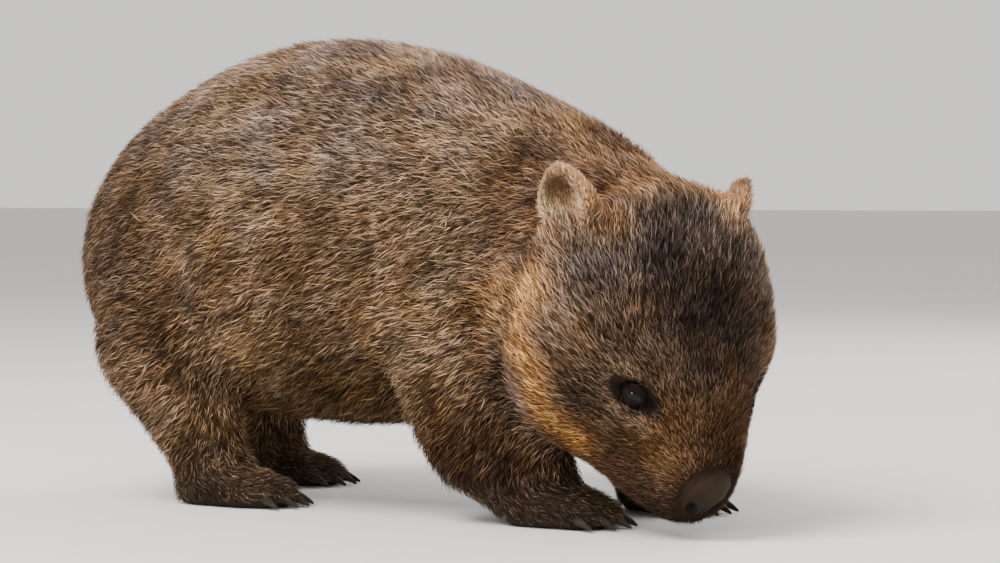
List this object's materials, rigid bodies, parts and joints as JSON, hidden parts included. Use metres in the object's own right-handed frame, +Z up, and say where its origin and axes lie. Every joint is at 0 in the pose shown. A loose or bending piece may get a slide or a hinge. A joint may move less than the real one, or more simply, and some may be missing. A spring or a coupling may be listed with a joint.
{
  "type": "common wombat",
  "caption": "Life-size common wombat grazing on four legs, head lowered and turned to its right, with a coarse grizzled coat, small ears and a broad dark nose.",
  "frame": {"origin": "on the floor, under the middle of the model's bounding box", "axes": "+X the way the body faces, +Y the animal's left, +Z up"},
  "size_m": [0.6412, 0.3182, 0.3688],
  "materials": {
    "coat": "coarse grizzled brown-grey fur",
    "dark_coat": "short dark brown fur",
    "ear": "short rufous fur",
    "nose": "dark, finely pebbled, slightly moist",
    "claw": "dark horn",
    "eye": "very dark brown, wet gloss"
  },
  "bodies": {
    "root": {"claw_fore_left_1": "claw", "claw_fore_left_2": "claw", "claw_fore_left_3": "claw", "claw_fore_left_4": "claw", "claw_fore_left_5": "claw", "claw_fore_right_1": "claw", "claw_fore_right_2": "claw", "claw_fore_right_3": "claw", "claw_fore_right_4": "claw", "claw_fore_right_5": "claw", "claw_hind_left_1": "claw", "claw_hind_left_2": "claw", "claw_hind_left_3": "claw", "claw_hind_left_4": "claw", "claw_hind_right_1": "claw", "claw_hind_right_2": "claw", "claw_hind_right_3": "claw", "claw_hind_right_4": "claw", "ear_left": "ear", "ear_right": "ear", "eye_left": "eye", "eye_right": "eye", "forearm_left": "coat", "forearm_right": "coat", "forepaw_left": "dark_coat", "forepaw_right": "dark_coat", "head": "coat", "hindpaw_left": "dark_coat", "hindpaw_right": "dark_coat", "neck": "coat", "nose_pad": "nose", "shank_left": "coat", "shank_right": "coat", "tail": "coat", "thigh_left": "coat", "thigh_right": "coat", "trunk": "coat", "upper_arm_left": "coat", "upper_arm_right": "coat"}
  },
  "joints": []
}
